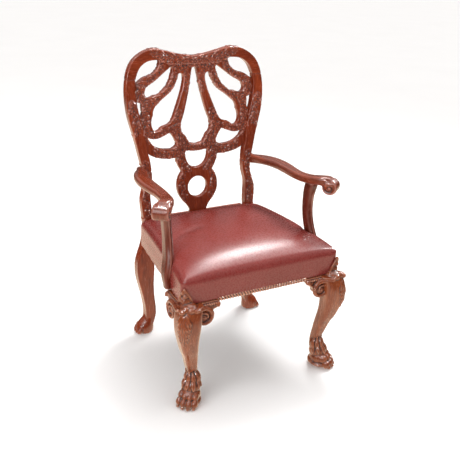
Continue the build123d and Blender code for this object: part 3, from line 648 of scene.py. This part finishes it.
def ribbon_ornament(relief):
    """Carving of the splat, the crest and the stiles; across is measured from the middle."""
    # crest: long leaves that run out from a shell in the middle
    relief.foliage([(8, 1006), (45, 1009), (80, 1015), (112, 1024), (146, 1036)], 29, 20, 5.1, 0.5)
    relief.foliage([(10, 996), (50, 997), (90, 1001), (124, 1012)], 21, 16, 4.5, 0.8)
    relief.scroll((92, 1004), 13, 1.6, height=4.9)
    relief.scroll((128, 1022), 12, 1.6, height=4.6)
    relief.rosette((0, 1001), 15, 8, 3.8)
    for angle in (-150, -120, -90, -60, -30):
        relief.leaf((0, 1000), radians(angle), 27, 11, 3.4)
    relief.bead((0, 975), 7, 3.4)
    # borders of the plain panels under the crest
    relief.foliage([(22, 978), (40, 975), (66, 980), (80, 992)], 17, 14, 3.9)
    # ribbon beside the middle petal
    relief.fillet([(22, 962), (25, 930), (33, 898), (43, 862), (52, 836)], 4.5, 1.8)
    relief.fillet([(38, 958), (40, 930), (48, 902), (61, 868), (73, 836)], 4.5, 1.8)
    relief.foliage([(30, 968), (31, 940), (35, 914)], 21, 15, 4.2)
    relief.foliage([(60, 834), (70, 808), (76, 790), (72, 762), (58, 742), (46, 722)], 27, 18, 5.4)
    relief.scroll((70, 782), 12, 1.6, height=5.1)
    # ribbon between the second and the third petal, down its outer side and back under it
    relief.foliage([(74, 966), (80, 944), (95, 918), (121, 893), (146, 880), (168, 866)], 26, 18, 5.1)
    relief.foliage([(172, 868), (186, 852), (190, 826), (195, 802), (196, 776), (186, 756)], 27, 18, 5.4)
    relief.foliage([(78, 770), (108, 768), (134, 762), (160, 752), (184, 752)], 24, 16, 5.1)
    # outer ribbon
    relief.foliage([(112, 992), (130, 976), (152, 956), (176, 944), (200, 934)], 26, 18, 5.1)
    relief.foliage([(200, 936), (212, 914), (210, 888), (196, 872)], 26, 16, 5.4)
    relief.scroll((204, 922), 12, 1.6, height=5.1)
    relief.scroll((190, 866), 13, 1.7, hand=-1, height=5.1)
    relief.scroll((206, 884), 10, 1.5, height=4.6)
    # swag under the petals, and the collar of the vase
    relief.foliage([(66, 700), (90, 685), (118, 682), (150, 688)], 27, 18, 5.4)
    relief.foliage([(0, 696), (30, 697), (54, 704), (70, 722)], 24, 16, 5.1)
    relief.scroll((66, 712), 13, 1.7, height=5.4)
    relief.rosette((0, 695), 11, 6, 3.4)
    relief.foliage([(68, 692), (66, 668), (58, 644), (50, 624)], 26, 16, 5.4)
    relief.scroll((62, 676), 11, 1.6, hand=-1, height=4.9)
    # beside the round hole of the vase
    relief.foliage([(50, 612), (60, 594), (64, 566), (62, 538), (54, 512)], 21, 16, 4.8)
    # stiles
    relief.foliage([(246, 884), (243, 850), (238, 815), (234, 786)], 26, 18, 5.4)
    relief.scroll((247, 872), 12, 1.7, height=5.1)
    relief.leaf((238, 808), radians(-100), 34, 15, 3.4)
    relief.foliage([(212, 672), (206, 640), (206, 604), (212, 566), (214, 520), (214, 470)], 23, 18, 4.8)


def add_rear_paw(shape, hand):
    """Toes and claws at the outer end of a rear foot."""
    x, y = rear_paw
    for side in (-20, -7, 7, 20):
        set_back = 0.25 * abs(side)
        ellipsoid(shape, (hand * (x + 20 - set_back), y + 0.95 * side, 24), (13, 8, 11))
        ellipsoid(shape, (hand * (x + 29 - set_back), y + side, 12), (10, 8, 11.5))
        ellipsoid(shape, (hand * (x + 37 - set_back), y + side, 6), (6, 4, 5))


def carve_back(name, voxel, finish, hand=0):
    """Part of the back with its ornament; a stile's hand, -1 or 1, also gives it a paw."""
    shape = copied_nodes([name])
    if hand:
        add_rear_paw(shape, hand)
    piece = new_piece(name + "_carved", shape)
    merge_solids(piece, voxel, 3)
    mesh = piece.data
    points = points_of(mesh)
    normals = normals_of(mesh)
    front = np.stack(
        [
            -points[:, 0] / back_hollow_radius,
            -np.ones(len(points)),
            np.full(len(points), back_rake),
        ],
        axis=1,
    )
    front /= np.linalg.norm(front, axis=1)[:, None]
    facing = eased((normals * front).sum(1), 0.15, 0.85)
    sideways = 1 - eased(abs((normals * front).sum(1)), 0.3, 0.7)
    relief = Relief(abs(points[:, 0]), points[:, 2])
    ribbon_ornament(relief)
    # the edges of the ribbons wave where they are carved
    around = neighbour_mean(mesh, relief.height[:, None], 8)[:, 0]
    ornate = eased(around, 0.2, 1.0)
    slanted = points[:, 2] + abs(points[:, 0]), points[:, 2] - abs(points[:, 0])
    scallop = sum(abs(np.sin(pi * value / edge_wave)) for value in slanted)
    carved = points + front * (relief.height * facing)[:, None]
    carved += normals * (scallop * ornate * sideways)[:, None]
    carved[:, 2] = np.maximum(carved[:, 2], 0)
    move_points(mesh, carved)
    # the painted shade and the paler wear-and-highlight colour stay on the carving and the rear paw
    mark_cavities(mesh, 1.4, share=np.maximum(ornate, points[:, 2] < rear_paw_top))
    finished(piece, finish, "polished_mahogany", name)


carve_back("back_splat", 1.9, back_wood)
carve_back("crest_rail", 1.6, crest_wood)
for hand, side_name in ((-1, "left"), (1, "right")):
    carve_back("rear_leg_stile_" + side_name, 1.8, back_wood, hand)

# ---- front legs: knees, corner leaves and paws -----------------------------------------------
leg_axis = (250, -246.4)  # where the leg's post stands
paw_axis = (246, -249.4)
diagonal = cos(radians(45))
ankle_cut = 66
leg_radius = 38  # turns an angle round the leg into a distance
knee_ornament_top = 350


def on_leg(hand, axis, out, side, height):
    """Place given by reach along the leg's diagonal, distance beside it, and height."""
    x = axis[0] + diagonal * (out + side)
    return (hand * x, axis[1] - diagonal * (out - side), height)


def cut_off_below(shape, height):
    """Drop what is lower than a height, in millimetres, and close the cut."""
    geometry = shape.verts[:] + shape.edges[:] + shape.faces[:]
    cut = bmesh.ops.bisect_plane(
        shape,
        geom=geometry,
        dist=0.001 * MM,
        plane_co=(0, 0, height * MM),
        plane_no=(0, 0, -1),
        clear_outer=True,
    )
    rim = [item for item in cut["geom_cut"] if isinstance(item, bmesh.types.BMEdge)]
    bmesh.ops.holes_fill(shape, edges=rim)


def add_paw(shape, place, turn, toes):
    """Paw of a sole, an instep and clawed toes; place(out, side, height) puts each part."""
    for out, side, height, radii in (
        (18, 0, 12, (42, 37, 13)),
        (13, 0, 34, (35, 34, 28)),
        (5, 0, 58, (31, 30, 32)),
        (-3, 0, 84, (25, 25, 30)),
        (-10, 0, 18, (18, 28, 17)),
    ):
        ellipsoid(shape, place(out, side, height), radii, turn)
    for side in toes:
        back_set = 0.42 * abs(side)
        ellipsoid(shape, place(41 - back_set, 0.92 * side, 35), (16, 11, 14), turn)
        ellipsoid(shape, place(55 - back_set, side, 17), (15, 11.5, 15), turn)
        ellipsoid(shape, place(66 - back_set, 1.03 * side, 8), (8, 5.5, 7), turn)


def leg_chart(points, hand):
    """Distance round the leg from its outer ridge, in millimetres, and height."""
    heights = (60, 94, 122, 155, 200, 235, 272, 315, 348, 364)
    middles = (-3.5, -10.5, -5, 3.5, 18, 27.5, 33, 31, 22, 13)
    x, y = hand * points[:, 0] - leg_axis[0], points[:, 1] - leg_axis[1]
    out = diagonal * (x - y) - np.interp(points[:, 2], heights, middles)
    side = diagonal * (x + y)
    return leg_radius * np.arctan2(side, out), points[:, 2]


def knee_ornament(relief):
    """Acanthus that hangs down the ridge of the knee, tufts of hair over the paw."""
    down = radians(-90)
    relief.leaf((0, knee_ornament_top), down, 108, 15, 5, 3)
    for side in (1, -1):
        for height, length in ((352, 52), (332, 46), (311, 40), (291, 32), (274, 22)):
            relief.leaf((side * 3, height), down + side * 0.42, length, 0.36 * length, 4.5, 2)
    for number in range(-3, 4):
        relief.leaf((21 * number, 117 - 4 * (number % 2)), down, 60, 23, 6, 0, 0.25)


def carve_front_leg(hand, side_name):
    """Cabriole leg with its knee, its corner leaf and its paw."""
    shape = copied_nodes(["front_leg_" + side_name])
    cut_off_below(shape, ankle_cut)
    turn = Matrix.Rotation(radians(-45 if hand > 0 else -135), 3, "Z")

    def place(out, side, height):
        return on_leg(hand, paw_axis, out, side, height)

    add_paw(shape, place, turn, (-26, -9, 9, 26))
    # top of the knee, its two bosses, and the leaf that laps up over the leather's corner
    for x, y, height, radii in (
        (270, -264, 354, (31, 31, 24)),
        (270.6, -290, 361, (12, 10, 10)),
        (300, -285, 361, (10, 12, 10)),
        (286, -282, 362, (12, 12, 13)),
        (274, -262, 380, (17, 10, 15)),
        (281, -267, 400, (8, 7.5, 8)),
        (284, -263, 413, (8, 6, 11)),
        (287, -250, 384, (6, 12, 12)),
    ):
        ellipsoid(shape, (hand * x, y, height), radii)
    hood = [(258, -266, 372), (265, -268, 392), (275, -268, 410), (284, -265, 422)]
    hood += [(288, -258, 412), (289.5, -249, 394), (290, -242, 376)]
    tube(shape, [(hand * x, y, height) for x, y, height in hood], (5, 4.5, 4.5, 4.5, 5))
    piece = new_piece("front_leg_" + side_name + "_carved", shape)
    merge_solids(piece, 1.5, 2)
    mesh = piece.data
    points = points_of(mesh)
    normals = normals_of(mesh)
    relief = Relief(*leg_chart(points, hand))
    knee_ornament(relief)
    under_knee = eased(points[:, 2], knee_ornament_top + 6, knee_ornament_top)
    carved = points + normals * (relief.height * under_knee)[:, None]
    carved[:, 2] = np.maximum(carved[:, 2], 0)
    move_points(mesh, carved)
    mark_cavities(mesh, 1.3)
    finished(piece, leg_wood, "polished_mahogany", "front_leg_" + side_name)


# ---- the scrolled ears beside the knees ------------------------------------------------------
seat_corner = (288.5, -263.4)
scroll_across = 68  # from the seat's corner to the eye of the ear's volute
scroll_height = 319
volute_start = 82  # degrees above level, seen from the eye, where the ridge meets the volute
volute_step = 20  # degrees
volute_steps = 23
volute_radius = 31
volute_winding = 0.9  # taken off the radius at each step
bead_start = 44
bead_pitch = 7.5
bead_count = 11
# the ridge that comes off the knee: distance from the corner, distance out, height
front_lead = [(19, 28, 361), (33, 32, 357), (46, 26, 354), (58, 18, 352)]
side_lead = [(-8, 19, 361), (4, 18, 357), (20, 14, 354), (38, 9, 352), (54, 6, 351)]


def carve_ear(name, hand, facing_front):
    """Ear with a ridge off the knee that winds into a volute on its outer face."""
    shape = copied_nodes([name])
    corner_x, corner_y = seat_corner
    face = 7 if facing_front else 1

    def place(across, out, height):
        if facing_front:
            return (hand * (corner_x - across), corner_y - out, height)
        return (hand * (corner_x + out), corner_y + across, height)

    ridge = list(front_lead if facing_front else side_lead)
    for step in range(volute_steps):
        angle = radians(volute_start - volute_step * step)
        reach = volute_radius - volute_winding * step
        across = scroll_across + reach * cos(angle)
        ridge.append((across, face + 5 + 0.2 * step, scroll_height + reach * sin(angle)))
    tube(shape, [place(*point) for point in ridge], (5.5, 8, 8, 7, 5.5, 4, 3.2))
    turn = Matrix.Rotation(radians(90), 3, "X" if facing_front else "Y")
    ellipsoid(shape, place(scroll_across, face, scroll_height), (21, 21, 8), turn)
    ellipsoid(shape, place(scroll_across, face + 5, scroll_height), (8.5, 8.5, 8), turn)
    for step in range(bead_count):
        ellipsoid(shape, place(bead_start + bead_pitch * step, face, 356), (3.9, 3.9, 4.2))
    ellipsoid(shape, place(119, face - 3, 351), (9, 9, 9))
    piece = new_piece(name + "_carved", shape)
    merge_solids(piece, 1.2, 1)
    mesh = piece.data
    points = points_of(mesh)
    normals = normals_of(mesh)
    if facing_front:
        across = corner_x - hand * points[:, 0]
        outward = -normals[:, 1]
    else:
        across = points[:, 1] - corner_y
        outward = hand * normals[:, 0]
    relief = Relief(across, points[:, 2])
    relief.leaf((scroll_across + 30, 342), radians(5), 30, 15, 3.6, 3)
    relief.leaf((scroll_across + 28, 331), radians(-25), 24, 13, 3.2, 2)
    move_points(mesh, points + normals * (relief.height * eased(outward, 0.1, 0.8))[:, None])
    mark_cavities(mesh, 0.9)
    finished(piece, knee_wood, "polished_mahogany", name)


for hand, side_name in ((-1, "left"), (1, "right")):
    carve_front_leg(hand, side_name)
    carve_ear("front_knee_block_" + side_name, hand, True)
    carve_ear("side_knee_block_" + side_name, hand, False)

# ---- arms ------------------------------------------------------------------------------------
arm_scroll = (311, -156.4, 638)
arm_scroll_radius = 26
arm_scroll_heading = radians(38)  # of the scroll's axis, from across the chair


def carve_arm(hand, side_name):
    """Arm whose top sweeps over into a scroll with a volute on both faces."""
    shape = copied_nodes(["arm_" + side_name])
    turn = Matrix.Rotation(hand * arm_scroll_heading, 3, "Z")
    for x, y, height in ((299, -148, 653), (304, -152, 652), (308, -156, 649), (311, -159, 646)):
        for offset in (-9, 0, 9):
            beside = offset * cos(arm_scroll_heading)
            behind = offset * sin(arm_scroll_heading)
            ellipsoid(shape, (hand * (x + beside), y + behind, height), (15, 18, 19.5), turn)
    piece = new_piece("arm_" + side_name + "_carved", shape)
    merge_solids(piece, 1.8, 12)
    mesh = piece.data
    points = points_of(mesh)
    normals = normals_of(mesh)
    axis = np.array((hand * cos(arm_scroll_heading), sin(arm_scroll_heading), 0))
    across = np.array((-hand * sin(arm_scroll_heading), cos(arm_scroll_heading), 0))
    from_eye = points - (hand * arm_scroll[0], arm_scroll[1], arm_scroll[2])
    relief = Relief(from_eye @ across, from_eye[:, 2])
    relief.scroll((0, 0), arm_scroll_radius - 1, 1.15, start=0.1, height=5)
    near_face = (abs(from_eye @ axis) > 15) & (abs(from_eye @ axis) < 34)
    squarely = eased(abs(normals @ axis), 0.45, 0.9) * near_face
    move_points(mesh, points + normals * (relief.height * squarely)[:, None])
    mark_cavities(mesh, 0.9)
    finished(piece, arm_wood_with_painted_shade, "polished_mahogany", "arm_" + side_name)


support_heights = (372, 398, 425, 458, 490, 525, 560, 595, 622, 644)
support_middles = (286, 285, 281, 273, 269, 267, 268, 270, 274, 276)
support_ridge = 6
support_ridge_half = 14


def carve_support(hand, side_name):
    """Arm support with a ridge down its front and back."""
    name = "arm_support_" + side_name
    piece = new_piece(name + "_carved", copied_nodes([name]))
    merge_solids(piece, 1.7, 6)
    mesh = piece.data
    points = points_of(mesh)
    normals = normals_of(mesh)
    beside = abs(hand * points[:, 0] - np.interp(points[:, 2], support_heights, support_middles))
    ridge = support_ridge * np.clip(1 - beside / support_ridge_half, 0, 1)
    ridge *= eased(points[:, 2], 385, 430)
    ridge *= eased(-points[:, 2], -625, -590)
    points[:, 1] += ridge * np.clip(1.6 * normals[:, 1], -1, 1)
    move_points(mesh, points)
    mark_cavities(mesh, 0.9)
    finished(piece, support_wood_with_painted_shade, "polished_mahogany", name)


for hand, side_name in ((-1, "left"), (1, "right")):
    carve_arm(hand, side_name)
    carve_support(hand, side_name)

# ---- gadroon moulding ------------------------------------------------------------------------
gadroon_pitch = 10
gadroon_rise = 3.2
gadroon_base = 1  # the hollows are cut in this far


def carve_gadroon():
    """Strip of slanting lobes under the leather's front edge."""
    name = "gadroon_moulding"
    piece = new_piece(name + "_carved", copied_nodes([name]))
    merge_solids(piece, 1.0, 1)
    mesh = piece.data
    points = points_of(mesh)
    lean = abs(points[:, 0]) - 0.5 * points[:, 2]
    lobes = abs(np.sin(pi * lean / gadroon_pitch)) ** 0.8
    normals = normals_of(mesh)
    outward = eased(-normals[:, 1], -0.2, 0.4)
    move_points(mesh, points + normals * (outward * (gadroon_rise * lobes - gadroon_base))[:, None])
    mark_cavities(mesh, 0.5)
    finished(piece, knee_wood, "polished_mahogany", name)


carve_gadroon()

# ---- leather seat ----------------------------------------------------------------------------
seat_low, seat_high = (np.array(corner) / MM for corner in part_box("leather_cover"))
rail_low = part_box("front_seat_rail")[0].z / MM
seat_front_half = 289
seat_rear_half = 241
seat_rear_line = 210.4
between_stiles = 191
block_top = 500
seat_front_rise = 450
seat_side_rise = 14  # of the sides' middle over their ends
seat_rear_rise = 458
seat_crown = 490
seat_rounding = 15
seat_corner_radius = 18
seat_corner_steps = 6
swelling = 4
cloth_pressure = 4
cloth_frames = 20
swell_rounds = 30
held_rim = 14  # at the foot of the leather, which the tacks hold
crease_depth = 4.5
crease_width = 36
tuck_middle = -114  # place from front to rear, beside the arm support
tuck_length = 34
tuck_depth = 9
tuck_reach = 45
leather_thickness = 1.8


def seat_half(y):
    """Half the width of the seat at a place from front to rear."""
    share = (y - seat_low[1]) / (seat_rear_line - seat_low[1])
    return seat_front_half + share * (seat_rear_half - seat_front_half)


def seat_top(points):
    """Height of the crowned seat, rounded over its edges."""
    x, y = points[:, 0], points[:, 1]
    across = np.clip(abs(x) / seat_half(y), 0, 1)
    length = seat_high[1] - seat_low[1]
    share = np.clip((y - seat_low[1]) / length, 0, 1)
    arch = seat_side_rise * np.sin(pi * share) * across**2
    edge = seat_front_rise + (seat_rear_rise - seat_front_rise) * share**2 + arch
    crown = (1 - across**3.2) ** 0.8 * (1 - abs(2 * share - 1) ** 3.6) ** 0.75
    top = edge + (seat_crown - edge) * crown
    inside = np.minimum(seat_half(y) - abs(x), y - seat_low[1])
    inside = np.minimum(inside, np.where(abs(x) > between_stiles, seat_rear_line, seat_high[1]) - y)
    short = np.clip(seat_rounding - inside, 0, seat_rounding)
    return top - seat_rounding + np.sqrt(seat_rounding**2 - short**2)


def seat_block():
    """Closed block in the outline of the leather."""
    half = [(0, seat_low[1])]
    for step in range(seat_corner_steps + 1):
        angle = radians(90) * step / seat_corner_steps
        x = seat_front_half - seat_corner_radius * (1 - sin(angle))
        half.append((x, seat_low[1] + seat_corner_radius * (1 - cos(angle))))
    half += [
        (seat_rear_half, seat_rear_line),
        (between_stiles, seat_rear_line),
        (between_stiles, seat_high[1]),
        (0, seat_high[1]),
    ]
    outline = half + [(-x, y) for x, y in half[-2:0:-1]]
    shape = bmesh.new()
    corners = [shape.verts.new((x * MM, y * MM, rail_low * MM)) for x, y in outline]
    lid = bmesh.ops.extrude_face_region(shape, geom=[shape.faces.new(corners)])
    moved = [item for item in lid["geom"] if isinstance(item, bmesh.types.BMVert)]
    bmesh.ops.translate(shape, verts=moved, vec=(0, 0, (block_top - rail_low) * MM))
    bmesh.ops.recalc_face_normals(shape, faces=shape.faces)
    return new_piece("leather_seat", shape)


def inflate(piece):
    """Let the closed skin swell outwards under pressure, no further than its swelling."""
    mesh = piece.data
    start = points_of(mesh)
    outward = normals_of(mesh)
    held = piece.vertex_groups.new(name="held")
    low = [number for number, height in enumerate(start[:, 2]) if height < rail_low + held_rim]
    held.add(low, 1, "REPLACE")
    cloth = piece.modifiers.new("swell", "CLOTH")
    cloth.settings.quality = 5
    cloth.settings.use_pressure = True
    cloth.settings.uniform_pressure_force = cloth_pressure
    cloth.settings.effector_weights.gravity = 0
    cloth.settings.vertex_group_mass = "held"
    cloth.point_cache.frame_end = cloth_frames
    for number in range(1, cloth_frames + 1):
        scene.frame_set(number)
    apply_modifiers(piece)
    scene.frame_set(1)
    piece.vertex_groups.clear()
    swell = ((points_of(piece.data) - start) * outward).sum(1)
    swell = neighbour_mean(piece.data, np.clip(swell, 0, swelling)[:, None], swell_rounds)
    move_points(piece.data, start + outward * swell)


def make_seat():
    """Crowned leather seat: swollen, creased, and open underneath."""
    piece = seat_block()
    merge_solids(piece, 6.7, 0)
    mesh = piece.data
    points = points_of(mesh)
    reach = (points[:, 2] - rail_low) / (block_top - rail_low)
    points[:, 2] = rail_low + reach * (seat_top(points) - rail_low)
    # the leather is tucked in behind the arm supports
    beside = np.exp(-(((points[:, 1] - tuck_middle) / tuck_length) ** 4))
    beside *= eased(points[:, 2], 420, 440)
    half = seat_half(points[:, 1])
    inset = tuck_depth * beside * eased(abs(points[:, 0]), half - tuck_reach, half)
    points[:, 0] -= np.sign(points[:, 0]) * inset
    move_points(mesh, points)
    inflate(piece)
    mesh = piece.data
    shape = bmesh.new()
    shape.from_mesh(mesh)
    under = [face for face in shape.faces if face.calc_center_median().z < (rail_low + 2.5) * MM]
    bmesh.ops.delete(shape, geom=under, context="FACES")
    shape.to_mesh(mesh)
    shape.free()
    finer = piece.modifiers.new("finer", "SUBSURF")
    finer.levels = finer.render_levels = 1
    apply_modifiers(piece)
    points = points_of(piece.data)
    # shallow crease from behind the left arm support towards the middle
    crease = Relief(points[:, 0], points[:, 1])
    crease.fillet([(-270, -62), (-217, -32), (-161, -10), (-104, 8)], crease_width, crease_depth)
    valley = neighbour_mean(piece.data, crease.height[:, None], 16)[:, 0]
    points[:, 2] -= valley * eased(points[:, 2], 450, 462)
    move_points(piece.data, points)
    # the crease and the tuck get painted shade in the leather
    mark_cavities(piece.data, 1.5, 20)
    thick = piece.modifiers.new("thickness", "SOLIDIFY")
    thick.thickness = leather_thickness * MM
    thick.offset = -1
    apply_modifiers(piece)
    finished(piece, leather, "seat_leather", "leather_cover", "seat_stuffing")


make_seat()
